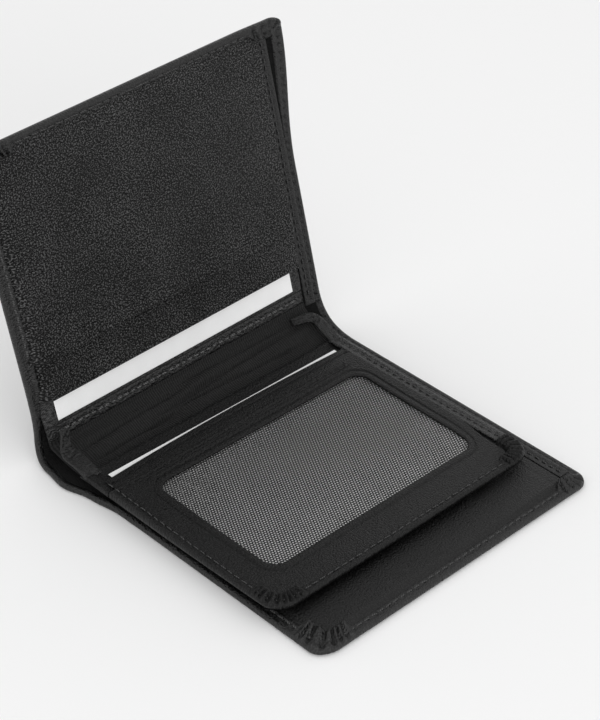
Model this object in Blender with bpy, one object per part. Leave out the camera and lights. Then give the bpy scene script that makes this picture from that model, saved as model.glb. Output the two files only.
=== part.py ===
"""A leather billfold wallet with three leaves, standing open.

The base leaf lies on the surface, the cover leaf stands and leans back, and a window flap turns between
them on the spine. X runs along the spine, Y from the base leaf's free edge towards the spine, Z is up.
The origin is on the surface, under the middle of the base leaf.
All sizes are in metres and angles in degrees.
"""

import math

import bmesh
import bpy

# Cards: one of the usual bank card size in the cover, and one as long but deeper in the flap
CARD_LENGTH = 0.0856
CARD_WIDTH = 0.0540
FLAP_CARD_WIDTH = 0.0605

# Outer shell: one hide with two fold lines
LEAF_WIDTH = 0.093
SPINE_WIDTH = 0.015
SHELL_CORNER = 0.005

# Thicknesses of the sheets
SHELL_THICK = 0.0010
LINING_THICK = 0.0003
DIVIDER_THICK = 0.0006
FACING_THICK = 0.0006
BORDER_THICK = 0.0005
BACKING_THICK = 0.0004
HEM_THICK = 0.00025
POCKET_THICK = 0.0005
CARD_THICK = 0.0004
RIB_CLOTH_THICK = 0.0003
TAB_THICK = 0.0005
MESH_THICK = 0.00025
PANEL_THICK = 0.0006
FRAME_THICK = 0.0007
THREAD_DIAMETER = 0.00024

# Clear spaces between sheets
LAYER_GAP = 0.0002
NOTE_GAP = 0.0006
THREAD_GAP = 0.00005
FLAP_REST_GAP = 0.0004
EDGE_GAP = 0.0003
FOLD_GAP = 0.0001

# How far each sheet stays inside the shell's edges
LINING_INSET = 0.0010
DIVIDER_INSET = 0.0005
DIVIDER_SETBACK = 0.0040
BORDER_WIDTH = 0.0036
FACING_INSET = 0.0012
FOLD_MARGIN = 0.0015
EDGE_SEAM_INSET = 0.0019
SEAM_END = 0.0026

# Cover leaf, measured from its fold line
POCKET_EASE = 0.00365
HEM_LOW = 0.0030
HEM_WIDTH = 0.0040
COVER_CARD_EDGE = 0.0085
LOWER_POCKET_EDGE = 0.0150
POCKET_END_SPARE = 0.0025
FRONT_POCKET_EDGE = 0.0270

# Window flap, measured from its hinge line
FLAP_LEFT_OVERHANG = 0.0015
FLAP_HINGE_SETBACK = 0.0006
FLAP_ROOT = 0.0006
FLAP_CORNER = 0.0070
STRIP_WIDTH = 0.0114
FLAP_CARD_EDGE = 0.0054
FRAME_EDGE = 0.0071
FLAP_BORDER_WIDTH = 0.0034
WINDOW_NEAR = 0.0190
WINDOW_FAR_MARGIN = 0.0131
WINDOW_LEFT_MARGIN = 0.0105
WINDOW_RIGHT_MARGIN = 0.0062
WINDOW_CORNER = 0.0040
MESH_LAP = 0.0030
FLAP_CARD_MARGIN = 0.0050
FLAP_CARD_EASE = 0.0022
FLAP_POCKET_SPARE = 0.0116

# Gusset and its end tabs, on the spine
GUSSET_MARGIN = 0.0010
GUSSET_END_INSET = 0.0015
TAB_LENGTH = 0.0070
TAB_WIDTH = 0.0050
TAB_MARGIN = 0.0015

# Angles of the open wallet, up from the surface
SPINE_ANGLE = 15.0
COVER_ANGLE = 78.0

ARC_STEPS = 6

# Heights above the underside of the shell, worked out from the layers
LINING_LOW = SHELL_THICK + LAYER_GAP
AXIS_HEIGHT = LINING_LOW + LINING_THICK
DIVIDER_LOW = AXIS_HEIGHT + NOTE_GAP
INNER_LOW = DIVIDER_LOW + DIVIDER_THICK + LAYER_GAP
FACING_TOP = INNER_LOW + FACING_THICK
COVER_CARD_LOW = INNER_LOW + BACKING_THICK + LAYER_GAP
LOWER_POCKET_LOW = COVER_CARD_LOW + CARD_THICK + LAYER_GAP
FRONT_POCKET_LOW = LOWER_POCKET_LOW + POCKET_THICK + LAYER_GAP
BASE_SEAM_TOP = FACING_TOP + THREAD_GAP + THREAD_DIAMETER

# Heights above the underside of the flap
BACK_LOW = RIB_CLOTH_THICK + LAYER_GAP
FLAP_CARD_LOW = BACK_LOW + PANEL_THICK + LAYER_GAP
MESH_LOW = FLAP_CARD_LOW + CARD_THICK + LAYER_GAP
FRAME_LOW = MESH_LOW + MESH_THICK + LAYER_GAP
FLAP_UNDERSIDE = BASE_SEAM_TOP + FLAP_REST_GAP

# The pockets take a card's length, and the shell goes round the pockets and the note opening
POCKET_LENGTH = CARD_LENGTH + 2 * POCKET_EASE
SHELL_LENGTH = FACING_INSET + POCKET_LENGTH + EDGE_GAP + BORDER_WIDTH + DIVIDER_SETBACK
FLAP_WIDTH = FLAP_CARD_EDGE + FLAP_CARD_WIDTH + FLAP_POCKET_SPARE

# Edges along the spine direction
LEFT = -SHELL_LENGTH / 2
RIGHT = SHELL_LENGTH / 2
POCKET_LEFT = LEFT + FACING_INSET
POCKET_RIGHT = POCKET_LEFT + POCKET_LENGTH
DIVIDER_RIGHT = POCKET_RIGHT + EDGE_GAP + BORDER_WIDTH
FLAP_LEFT = LEFT - FLAP_LEFT_OVERHANG
FLAP_CARD_LEFT = FLAP_LEFT + FLAP_CARD_MARGIN
FRAME_RIGHT = FLAP_CARD_LEFT + CARD_LENGTH + FLAP_CARD_EASE
FLAP_RIGHT = FRAME_RIGHT + EDGE_GAP + FLAP_BORDER_WIDTH

# Colours
BLACK_LEATHER = (0.020, 0.020, 0.021)
BLACK_CLOTH = (0.012, 0.012, 0.013)
BLACK_MESH = (0.035, 0.035, 0.036)
BLACK_THREAD = (0.015, 0.015, 0.016)
WHITE_CARD = (0.80, 0.80, 0.80)


def clear_scene():
    for obj in list(bpy.data.objects):
        bpy.data.objects.remove(obj, do_unlink=True)


def finish(obj, colour, roughness):
    """Give an object a material of its own."""
    material = bpy.data.materials.new(obj.name)
    material.use_nodes = True
    shader = material.node_tree.nodes["Principled BSDF"]
    shader.inputs["Base Color"].default_value = (*colour, 1.0)
    shader.inputs["Roughness"].default_value = roughness
    shader.inputs["Metallic"].default_value = 0.0
    obj.data.materials.append(material)


def frame(name, parent, location, angle):
    """An empty on a fold line; what is parented to it turns with it."""
    empty = bpy.data.objects.new(name, None)
    bpy.context.collection.objects.link(empty)
    empty.parent = parent
    empty.location = location
    empty.rotation_euler.x = math.radians(angle)
    return empty


def arc(centre_x, centre_y, radius, start):
    """A quarter turn, anticlockwise from the start angle."""
    points = []
    for step in range(ARC_STEPS + 1):
        angle = math.radians(start + 90.0 * step / ARC_STEPS)
        points.append((centre_x + radius * math.cos(angle), centre_y + radius * math.sin(angle)))
    return points


def rectangle(x_low, x_high, low, high, near_corner=0.0, far_corner=0.0):
    """An anticlockwise outline; near corners lie at the low edge and far corners at the high edge."""
    if near_corner > 0.0:
        points = arc(x_low + near_corner, low + near_corner, near_corner, 180.0)
        points += arc(x_high - near_corner, low + near_corner, near_corner, 270.0)
    else:
        points = [(x_low, low), (x_high, low)]
    if far_corner > 0.0:
        points += arc(x_high - far_corner, high - far_corner, far_corner, 0.0)
        points += arc(x_low + far_corner, high - far_corner, far_corner, 90.0)
    else:
        points += [(x_high, high), (x_low, high)]
    return points


class Leaf:
    """A stack of sheets on one frame, with distances from the fold line and heights from the underside."""

    def __init__(self, empty, direction, underside):
        self.empty = empty
        self.direction = direction
        self.underside = underside

    def place(self, obj):
        bpy.context.collection.objects.link(obj)
        obj.parent = self.empty
        obj.location.z = self.underside
        return obj

    def sheet(self, name, outline, low, thickness, colour, roughness):
        """A flat sheet with the given outline."""
        mesh = bpy.data.meshes.new(name)
        shape = bmesh.new()
        corners = [shape.verts.new((x, self.direction * y, low)) for x, y in outline]
        face = shape.faces.new(corners)
        raised = bmesh.ops.extrude_face_region(shape, geom=[face])["geom"]
        top = [item for item in raised if isinstance(item, bmesh.types.BMVert)]
        bmesh.ops.translate(shape, vec=(0.0, 0.0, thickness), verts=top)
        bmesh.ops.recalc_face_normals(shape, faces=shape.faces)
        shape.to_mesh(mesh)
        shape.free()
        obj = self.place(bpy.data.objects.new(name, mesh))
        finish(obj, colour, roughness)
        return obj

    def thread(self, name, path, surface):
        """A seam's thread, lying on a surface along a path."""
        curve = bpy.data.curves.new(name, "CURVE")
        curve.dimensions = "3D"
        curve.bevel_depth = THREAD_DIAMETER / 2
        curve.bevel_resolution = 1
        curve.use_fill_caps = True
        spline = curve.splines.new("POLY")
        spline.points.add(len(path) - 1)
        height = surface + THREAD_GAP + THREAD_DIAMETER / 2
        for point, (x, y) in zip(spline.points, path):
            point.co = (x, self.direction * y, height, 1.0)
        obj = self.place(bpy.data.objects.new(name, curve))
        finish(obj, BLACK_THREAD, 0.6)
        return obj


def round_seam(x_left, x_right, low, high, corner):
    """A seam up the left side, round the far left corner and along the far edge."""
    turn = arc(x_left + corner, high - corner, corner, 90.0)
    return [(x_left, low)] + turn[::-1] + [(x_right, high)]


def outer_leaf(leaf, prefix):
    """The sheets that the base and cover leaves share: shell, lining, note divider and its border."""
    shell = rectangle(LEFT, RIGHT, FOLD_GAP, LEAF_WIDTH, far_corner=SHELL_CORNER)
    leaf.sheet(prefix + "_outer_shell", shell, 0.0, SHELL_THICK, BLACK_LEATHER, 0.45)

    lining = rectangle(
        LEFT + LINING_INSET,
        RIGHT - LINING_INSET,
        FOLD_GAP,
        LEAF_WIDTH - LINING_INSET,
        far_corner=SHELL_CORNER - LINING_INSET,
    )
    leaf.sheet(prefix + "_shell_lining", lining, LINING_LOW, LINING_THICK, BLACK_CLOTH, 0.85)

    divider = rectangle(
        LEFT + DIVIDER_INSET,
        DIVIDER_RIGHT,
        FOLD_MARGIN,
        LEAF_WIDTH - DIVIDER_INSET,
        far_corner=SHELL_CORNER - DIVIDER_INSET,
    )
    leaf.sheet(prefix + "_divider", divider, DIVIDER_LOW, DIVIDER_THICK, BLACK_LEATHER, 0.55)

    border_far = LEAF_WIDTH - SHELL_CORNER
    border = rectangle(DIVIDER_RIGHT - BORDER_WIDTH, DIVIDER_RIGHT, FOLD_MARGIN, border_far)
    leaf.sheet(prefix + "_divider_border", border, INNER_LOW, BORDER_THICK, BLACK_LEATHER, 0.45)

    border_line = DIVIDER_RIGHT - BORDER_WIDTH / 2
    border_seam = [(border_line, FOLD_MARGIN + SEAM_END), (border_line, border_far - EDGE_GAP)]
    leaf.thread(prefix + "_border_seam", border_seam, INNER_LOW + BORDER_THICK)


def edge_seam(leaf, name, low, surface):
    path = round_seam(
        LEFT + EDGE_SEAM_INSET,
        POCKET_RIGHT - SEAM_END,
        low,
        LEAF_WIDTH - EDGE_SEAM_INSET,
        SHELL_CORNER - EDGE_SEAM_INSET,
    )
    leaf.thread(name, path, surface)


def base_leaf(leaf):
    outer_leaf(leaf, "base")
    facing = rectangle(
        POCKET_LEFT,
        POCKET_RIGHT,
        FOLD_MARGIN,
        LEAF_WIDTH - FACING_INSET,
        far_corner=SHELL_CORNER - FACING_INSET,
    )
    leaf.sheet("base_inner_facing", facing, INNER_LOW, FACING_THICK, BLACK_LEATHER, 0.45)
    edge_seam(leaf, "base_edge_seam", FOLD_MARGIN + SEAM_END, FACING_TOP)


def spine(leaf):
    """The strip between the fold lines, with the ribbed cloth and its end tabs inside."""
    shell = rectangle(LEFT, RIGHT, FOLD_GAP, SPINE_WIDTH - FOLD_GAP)
    leaf.sheet("spine_shell", shell, 0.0, SHELL_THICK, BLACK_LEATHER, 0.45)

    lining = rectangle(LEFT + LINING_INSET, RIGHT - LINING_INSET, FOLD_GAP, SPINE_WIDTH - FOLD_GAP)
    leaf.sheet("spine_lining", lining, LINING_LOW, LINING_THICK, BLACK_CLOTH, 0.85)

    gusset_left = LEFT + GUSSET_END_INSET
    gusset_right = POCKET_RIGHT
    gusset_low = AXIS_HEIGHT + LAYER_GAP
    gusset = rectangle(gusset_left, gusset_right, GUSSET_MARGIN, SPINE_WIDTH - GUSSET_MARGIN)
    leaf.sheet("spine_gusset", gusset, gusset_low, RIB_CLOTH_THICK, BLACK_CLOTH, 0.80)

    tab_low = gusset_low + RIB_CLOTH_THICK + LAYER_GAP
    tab_far = SPINE_WIDTH - TAB_MARGIN
    tab_starts = {"left": gusset_left, "right": gusset_right - TAB_LENGTH}
    for side, start in tab_starts.items():
        tab = rectangle(start, start + TAB_LENGTH, tab_far - TAB_WIDTH, tab_far)
        leaf.sheet("gusset_tab_" + side, tab, tab_low, TAB_THICK, BLACK_LEATHER, 0.50)


def cover_leaf(leaf):
    outer_leaf(leaf, "cover")
    inner_far = LEAF_WIDTH - FACING_INSET
    inner_corner = SHELL_CORNER - FACING_INSET

    hem = rectangle(POCKET_LEFT, POCKET_RIGHT, HEM_LOW, HEM_LOW + HEM_WIDTH)
    leaf.sheet("cover_hem", hem, INNER_LOW, HEM_THICK, BLACK_LEATHER, 0.50)
    hem_line = HEM_LOW + HEM_WIDTH / 2
    hem_seam = [(POCKET_LEFT + SEAM_END, hem_line), (POCKET_RIGHT - SEAM_END, hem_line)]
    leaf.thread("cover_hem_seam", hem_seam, INNER_LOW + HEM_THICK)

    backing_low = HEM_LOW + HEM_WIDTH + EDGE_GAP
    backing = rectangle(POCKET_LEFT, POCKET_RIGHT, backing_low, inner_far, far_corner=inner_corner)
    leaf.sheet("cover_backing", backing, INNER_LOW, BACKING_THICK, BLACK_CLOTH, 0.85)

    lower_far = COVER_CARD_EDGE + CARD_WIDTH + POCKET_END_SPARE
    lower = rectangle(POCKET_LEFT, POCKET_RIGHT, LOWER_POCKET_EDGE, lower_far)
    leaf.sheet("cover_lower_pocket", lower, LOWER_POCKET_LOW, POCKET_THICK, BLACK_LEATHER, 0.45)

    front = rectangle(POCKET_LEFT, POCKET_RIGHT, FRONT_POCKET_EDGE, inner_far, far_corner=inner_corner)
    leaf.sheet("cover_front_pocket", front, FRONT_POCKET_LOW, POCKET_THICK, BLACK_LEATHER, 0.45)
    edge_seam(leaf, "cover_edge_seam", FRONT_POCKET_EDGE + SEAM_END, FRONT_POCKET_LOW + POCKET_THICK)


def card(leaf, name, left, edge, width, low):
    """A blank card with square corners, its long edge along the spine."""
    outline = rectangle(left, left + CARD_LENGTH, edge, edge + width)
    leaf.sheet(name, outline, low, CARD_THICK, WHITE_CARD, 0.40)


def window_outline(margin, corner):
    """The flap's window, widened by a margin all round."""
    return rectangle(
        FLAP_LEFT + WINDOW_LEFT_MARGIN - margin,
        FRAME_RIGHT - WINDOW_RIGHT_MARGIN + margin,
        WINDOW_NEAR - margin,
        FLAP_WIDTH - WINDOW_FAR_MARGIN + margin,
        corner,
        corner,
    )


def cut_window(leaf, panel):
    """Cut the window through the front panel."""
    cutter = leaf.sheet(
        "window_cutter",
        window_outline(0.0, WINDOW_CORNER),
        FRAME_LOW - FRAME_THICK,
        3 * FRAME_THICK,
        BLACK_LEATHER,
        0.5,
    )
    cutter.hide_render = True
    cutter.display_type = "WIRE"
    cut = panel.modifiers.new("window", "BOOLEAN")
    cut.operation = "DIFFERENCE"
    cut.solver = "EXACT"
    cut.object = cutter


def window_flap(leaf):
    whole = rectangle(FLAP_LEFT, FLAP_RIGHT, FLAP_ROOT, FLAP_WIDTH, far_corner=FLAP_CORNER)
    leaf.sheet("flap_lining", whole, 0.0, RIB_CLOTH_THICK, BLACK_CLOTH, 0.80)

    strip_far = FLAP_ROOT + STRIP_WIDTH
    strip = rectangle(FLAP_LEFT, FLAP_RIGHT, FLAP_ROOT, strip_far)
    leaf.sheet("flap_pocket_strip", strip, BACK_LOW, PANEL_THICK, BLACK_LEATHER, 0.45)

    back_near = strip_far + EDGE_GAP
    back = rectangle(FLAP_LEFT, FLAP_RIGHT, back_near, FLAP_WIDTH, far_corner=FLAP_CORNER)
    leaf.sheet("flap_back_panel", back, BACK_LOW, PANEL_THICK, BLACK_LEATHER, 0.45)

    border_low = BACK_LOW + PANEL_THICK + LAYER_GAP
    border_far = FLAP_WIDTH - FLAP_CORNER
    border = rectangle(FLAP_RIGHT - FLAP_BORDER_WIDTH, FLAP_RIGHT, back_near, border_far)
    leaf.sheet("flap_border", border, border_low, BORDER_THICK, BLACK_LEATHER, 0.45)
    border_line = FLAP_RIGHT - FLAP_BORDER_WIDTH / 2
    border_seam = [(border_line, back_near + SEAM_END), (border_line, border_far - EDGE_GAP)]
    leaf.thread("flap_border_seam", border_seam, border_low + BORDER_THICK)

    lap = window_outline(MESH_LAP, WINDOW_CORNER)
    leaf.sheet("flap_window_mesh", lap, MESH_LOW, MESH_THICK, BLACK_MESH, 0.70)

    panel = rectangle(FLAP_LEFT, FRAME_RIGHT, FRAME_EDGE, FLAP_WIDTH, far_corner=FLAP_CORNER)
    front = leaf.sheet("flap_front_panel", panel, FRAME_LOW, FRAME_THICK, BLACK_LEATHER, 0.45)
    cut_window(leaf, front)

    seam = round_seam(
        FLAP_LEFT + EDGE_SEAM_INSET,
        FRAME_RIGHT - FLAP_CORNER,
        FRAME_EDGE + SEAM_END,
        FLAP_WIDTH - EDGE_SEAM_INSET,
        FLAP_CORNER - EDGE_SEAM_INSET,
    )
    leaf.thread("flap_edge_seam", seam, FRAME_LOW + FRAME_THICK)


clear_scene()

base_frame = frame("base_frame", None, (0.0, LEAF_WIDTH / 2, 0.0), 0.0)
spine_frame = frame("spine_frame", base_frame, (0.0, 0.0, AXIS_HEIGHT), SPINE_ANGLE)
cover_frame = frame("cover_frame", spine_frame, (0.0, SPINE_WIDTH, 0.0), COVER_ANGLE - SPINE_ANGLE)
flap_frame = frame("flap_frame", base_frame, (0.0, -FLAP_HINGE_SETBACK, FLAP_UNDERSIDE), 0.0)

base = Leaf(base_frame, -1.0, 0.0)
back = Leaf(spine_frame, 1.0, -AXIS_HEIGHT)
cover = Leaf(cover_frame, 1.0, -AXIS_HEIGHT)
flap = Leaf(flap_frame, -1.0, 0.0)

base_leaf(base)
spine(back)
cover_leaf(cover)
card(cover, "cover_card", POCKET_LEFT + POCKET_EASE, COVER_CARD_EDGE, CARD_WIDTH, COVER_CARD_LOW)
window_flap(flap)
card(flap, "flap_card", FLAP_CARD_LEFT, FLAP_CARD_EDGE, FLAP_CARD_WIDTH, FLAP_CARD_LOW)
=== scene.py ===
"""A black leather billfold wallet, standing open with a window flap lying on its base leaf.

Lengths are in millimetres until a mesh is made. On every leaf, x runs along the spine, v is the distance
from the leaf's fold line and h the height above the underside of its leather.
"""
import math

import bpy
import numpy as np
from mathutils import Matrix, Vector


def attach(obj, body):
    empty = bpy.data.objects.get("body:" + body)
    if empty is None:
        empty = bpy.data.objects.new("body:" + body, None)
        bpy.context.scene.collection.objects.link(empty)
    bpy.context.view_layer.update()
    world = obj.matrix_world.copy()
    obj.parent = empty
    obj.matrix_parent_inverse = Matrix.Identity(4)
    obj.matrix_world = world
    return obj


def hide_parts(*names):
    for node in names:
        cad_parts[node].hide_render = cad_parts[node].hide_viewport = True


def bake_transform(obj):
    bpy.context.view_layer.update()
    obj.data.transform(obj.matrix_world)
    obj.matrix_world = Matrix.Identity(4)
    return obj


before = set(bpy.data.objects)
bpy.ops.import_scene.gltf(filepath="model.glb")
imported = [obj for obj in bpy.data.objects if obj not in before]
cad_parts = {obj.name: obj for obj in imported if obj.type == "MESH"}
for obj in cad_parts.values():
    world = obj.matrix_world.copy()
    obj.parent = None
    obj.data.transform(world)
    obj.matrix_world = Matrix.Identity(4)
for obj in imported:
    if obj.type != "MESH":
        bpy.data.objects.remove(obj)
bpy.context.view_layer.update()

# Camera: a long lens from the front left, looking down over the base leaf at the leaning cover.
# It is placed by its direction from the middle of the wallet.
AZIMUTH = math.radians(-44.64)
ELEVATION = math.radians(35.44)
ROLL = math.radians(1.08)
DISTANCE = 577.9
AIM = Vector((3.9, 20.0, 29.5))
FOCAL_PIXELS = 2135.0
IMAGE_HEIGHT = 720.0
SENSOR = 36.0

back = Vector((
    math.sin(AZIMUTH) * math.cos(ELEVATION),
    -math.cos(AZIMUTH) * math.cos(ELEVATION),
    math.sin(ELEVATION),
))
level = Vector((math.cos(AZIMUTH), math.sin(AZIMUTH), 0.0))
upright = back.cross(level)
right = math.cos(ROLL) * level + math.sin(ROLL) * upright
up = math.cos(ROLL) * upright - math.sin(ROLL) * level
lens = bpy.data.cameras.new("camera")
lens.sensor_width = SENSOR
lens.lens = FOCAL_PIXELS / IMAGE_HEIGHT * SENSOR
lens.clip_start = 0.01
camera = bpy.data.objects.new("camera", lens)
turned = Matrix((right, up, back)).transposed().to_4x4()
camera.matrix_world = Matrix.Translation((AIM + DISTANCE * back) * 0.001) @ turned
bpy.context.collection.objects.link(camera)
bpy.context.scene.camera = camera

# Studio: a white sweep under soft light, white on all sides, and one weak broad lamp.
# None of it belongs to the wallet.
FLOOR_REACH = 3.0
FLOOR_WHITE = (0.93, 0.93, 0.93, 1.0)
SKY_STRENGTH = 0.92
KEY_PLACE = (-0.5, -1.0, 0.45)
KEY_AIM = (0.0, 0.02, 0.02)
KEY_SIZE = 0.8
KEY_POWER = 3.2

floor_mesh = bpy.data.meshes.new("floor")
floor_corners = [(x * FLOOR_REACH, y * FLOOR_REACH, 0.0) for x, y in ((-1, -1), (1, -1), (1, 1), (-1, 1))]
floor_mesh.from_pydata(floor_corners, [], [(0, 1, 2, 3)])
floor = bpy.data.objects.new("floor", floor_mesh)
bpy.context.collection.objects.link(floor)
floor_paper = bpy.data.materials.new("floor")
floor_paper.use_nodes = True
paper = floor_paper.node_tree.nodes["Principled BSDF"]
paper.inputs["Base Color"].default_value = FLOOR_WHITE
paper.inputs["Roughness"].default_value = 0.9
paper.inputs["Specular IOR Level"].default_value = 0.1
floor_mesh.materials.append(floor_paper)

world = bpy.data.worlds.new("studio")
world.use_nodes = True
world.node_tree.nodes["Background"].inputs["Color"].default_value = (1.0, 1.0, 1.0, 1.0)
world.node_tree.nodes["Background"].inputs["Strength"].default_value = SKY_STRENGTH
bpy.context.scene.world = world
bpy.context.scene.view_settings.view_transform = "Standard"


def lamp(name, place, aim, size, power):
    light = bpy.data.lights.new(name, "AREA")
    light.shape = "DISK"
    light.size = size
    light.energy = power
    obj = bpy.data.objects.new(name, light)
    obj.location = place
    obj.rotation_euler = (Vector(aim) - Vector(place)).to_track_quat("-Z", "Y").to_euler()
    bpy.context.collection.objects.link(obj)


lamp("key", KEY_PLACE, KEY_AIM, KEY_SIZE, KEY_POWER)

# Outer shell: one hide of fine-grained black leather that lies flat under the base leaf, bends up through
# the spine and stands behind the cover leaf. Its edges are turned in over the leaves' inner leather, sewn
# down round the left and free sides and gathered into pleats at the corners.
SHELL_LEFT = -51.0
SHELL_RIGHT = 51.0
LEAF_DEPTH = 93.0
SPINE_WIDTH = 15.0
SPINE_MIDDLE = 7.5
SHELL_CORNER = 5.0
SHELL_THICK = 1.0
FOLD_LINE = 46.5
COVER_FOLD = (60.989, 5.382)
FOLD_HEIGHT = 1.5
COVER_LEAN = math.radians(78.0)
COVER_TWIST = math.radians(3.0)
COVER_SKEW = math.radians(3.1)
COVER_FOOT = np.array((-8.0, 56.7, 0.0))
TURNED_BAND = 2.7
COVER_BAND = 1.4
GATHERED_BAND = 4.8
GATHER_RADIUS = 10.0
SEAM_INSET = 1.9
STITCH_PITCH = 2.6
PRESSED_REACH = 4.6
BASE_PRESS = 0.46
COVER_PRESS = 0.56
SLOT_RIM = 1.7
POUCH_RIM = 1.8
BASE_RIM = 3.8
COVER_RIM = 5.6
COVER_FLARE = 2.3
COVER_CURL = 2.4
COVER_FACE = 5.5
COVER_LOWER = 2.0
LEFT_REACH = 1.3
BULGE = 3.7
BULGE_MIDDLE = 5.5
BULGE_WIDTH = 12.7
BULGE_END = -38.0
EDGE_WAVE = 0.3
BEND_START_LEFT = 10.0
BEND_START_FALL = 13.0
BEND_RISE = 4.0
BEND_PULL = 0.45
FAN_START = -0.18
TURNED_RIM = 0.9
SHELL_PLEATS = 6
SHELL_PLEAT_HEIGHT = 2.1
FINE_SPACING = {"reach": 11.0, "fine": 0.25, "step": 0.65}


def smooth(low, high, value):
    t = np.clip((value - low) / (high - low), 0.0, 1.0)
    return t * t * (3.0 - 2.0 * t)


def bump(middle, width, value):
    return np.exp(-(((value - middle) / width) ** 2))


def pressed(x, v, share):
    """How much thinner a leaf is at its sewn left and far edges than in the middle or at the spine."""
    side, end = np.maximum(x - SHELL_LEFT, 0.0), np.maximum(LEAF_DEPTH - v, 0.0)
    corner = np.hypot(np.maximum(SHELL_CORNER - side, 0.0), np.maximum(SHELL_CORNER - end, 0.0))
    depth = np.minimum(np.minimum(side, end), np.maximum(SHELL_CORNER - corner, 0.0) + 99.0 * (corner < 1e-9))
    return 1.0 - share * smooth(4.0, 16.0, v) * (1.0 - smooth(1.0, PRESSED_REACH, depth))


def reach_left(x):
    """The leaves' left edges are worn a little longer than their cut."""
    return x - LEFT_REACH * (1.0 - smooth(SHELL_LEFT, SHELL_LEFT + 4.0, x))


def on_base(x, v, h):
    return np.stack([reach_left(x), FOLD_LINE - v, h * pressed(x, v, BASE_PRESS)], -1)


def cover_axes():
    """Directions along the spine, up the standing leaf and out of its face: first straight, then askew."""
    along = np.array((1.0, 0.0, 0.0))
    rise = np.array((0.0, math.cos(COVER_LEAN), math.sin(COVER_LEAN)))
    face = np.array((0.0, -math.sin(COVER_LEAN), math.cos(COVER_LEAN)))
    turned = math.cos(COVER_TWIST) * along + math.sin(COVER_TWIST) * face
    skewed = math.cos(COVER_SKEW) * turned + math.sin(COVER_SKEW) * rise
    raised = math.cos(COVER_SKEW) * rise - math.sin(COVER_SKEW) * turned
    return (along, rise, face), (skewed, raised, np.cross(skewed, raised))


STRAIGHT, ASKEW = cover_axes()


def on_cover(x, v, h):
    """The cover's layers are pressed together, to the hide at the left edge and to the inside at the top."""
    press = pressed(x, v, COVER_PRESS)
    forward = COVER_FACE * smooth(LEAF_DEPTH - 14.0, LEAF_DEPTH - 5.0, v)
    level = h * press + forward * (1.0 - press) - FOLD_HEIGHT
    rise = v - COVER_LOWER * smooth(55.0, LEAF_DEPTH, v)
    zero = np.zeros_like(x)
    straight = np.stack([reach_left(x), zero + COVER_FOLD[0], zero + COVER_FOLD[1]], -1)
    straight = straight + rise[..., None] * STRAIGHT[1] + level[..., None] * STRAIGHT[2]
    away = straight - COVER_FOOT
    return COVER_FOOT + sum((away @ old)[..., None] * new for old, new in zip(STRAIGHT, ASKEW))


def on_hide(x, s, h):
    """A point of the one hide: s runs from the base leaf over the spine, from 0 to its width, to the cover.

    The hide bulges outwards at the left end of the spine.
    """
    bulge = BULGE * bump(BULGE_MIDDLE, BULGE_WIDTH, s) + EDGE_WAVE * np.sin(0.5 * s) * bump(0.0, 14.0, s)
    x = x - bulge * (1.0 - smooth(SHELL_LEFT, BULGE_END, x))
    lift = BEND_START_LEFT - BEND_START_FALL * smooth(SHELL_LEFT, SHELL_RIGHT, x)
    stand = SPINE_WIDTH + BEND_RISE
    low = on_base(x, -lift, np.zeros_like(x))
    high = on_cover(x, np.zeros_like(x) + stand - SPINE_WIDTH, np.zeros_like(x))
    reach = BEND_PULL * np.linalg.norm(high - low, axis=-1)[..., None]
    t = np.clip((s - lift) / (stand - lift), 0.0, 1.0)[..., None]
    first = low + reach * np.array((0.0, 1.0, 0.0))
    second = high - reach * ASKEW[1]
    u = 1.0 - t
    bend = u**3 * low + 3 * u * u * t * first + 3 * u * t * t * second + t**3 * high
    run = u * u * (first - low) + 2 * u * t * (second - first) + t * t * (high - second)
    run = run / np.linalg.norm(run, axis=-1)[..., None]
    across = u * STRAIGHT[0] + t * ASKEW[0]
    out = np.cross(across, run)
    bend = bend + h[..., None] * out / np.linalg.norm(out, axis=-1)[..., None]
    flat = on_base(x, -s, h)
    standing = on_cover(x, s - SPINE_WIDTH, h)
    return np.where((s <= lift)[..., None], flat, np.where((s >= stand)[..., None], standing, bend))


def stations(low, high, edge, reach, fine, step):
    """Positions across a sheet, close together at its rounded edges and wider apart in the middle."""
    reach = min(reach, 0.45 * (high - low))
    side = edge * np.array((0.0, 0.03, 0.12, 0.3, 0.62, 1.0))
    side = np.concatenate([side, np.arange(edge + fine, reach - 0.5 * fine, fine)])
    count = max(int((high - low - 2 * reach) / step), 1)
    middle = np.linspace(low + reach, high - reach, count + 1)
    return np.concatenate([low + side, middle, (high - side)[::-1]])


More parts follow.
